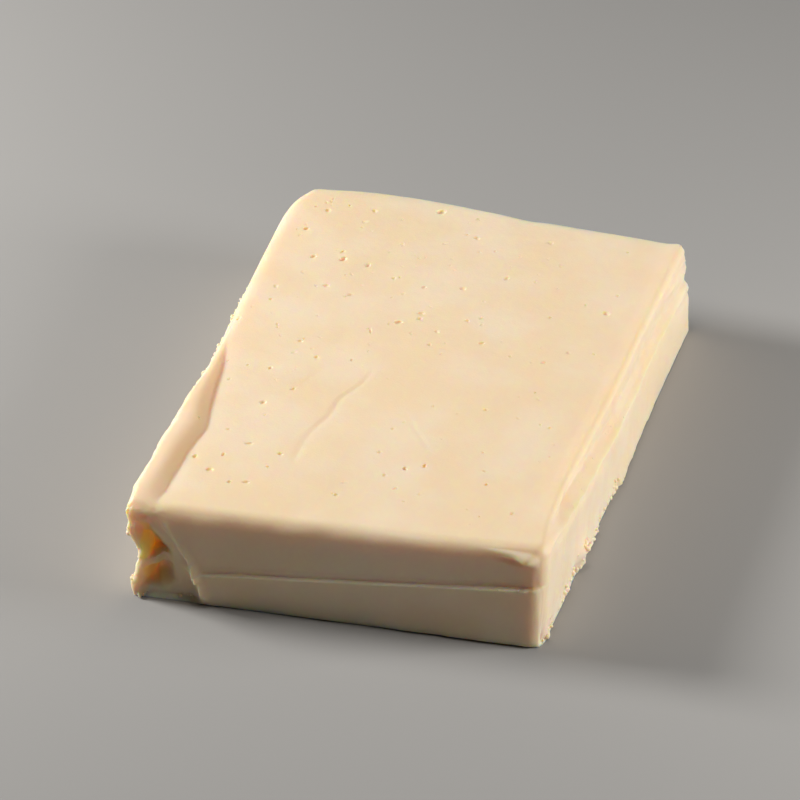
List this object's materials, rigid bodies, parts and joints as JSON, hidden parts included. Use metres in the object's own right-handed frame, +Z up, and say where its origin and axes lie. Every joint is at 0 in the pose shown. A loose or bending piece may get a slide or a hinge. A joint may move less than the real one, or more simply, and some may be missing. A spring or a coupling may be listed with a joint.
{
  "type": "fresh tomme cheese block",
  "caption": "Rectangular block of fresh tomme: pressed, rindless young curd with small eyes in its top, a pinched waist and a torn side.",
  "frame": {"origin": "centre of the footprint's bounding box, on the flat base that the block rests on", "axes": "+Z up, -Y out of the front cut, +X out of the torn right side, Y along the block's length"},
  "size_m": [0.1436, 0.2036, 0.0367],
  "materials": {
    "tomme_paste": "moist satin ivory curd, softly translucent"
  },
  "bodies": {
    "root": {"tomme_block": "tomme_paste"}
  },
  "joints": []
}
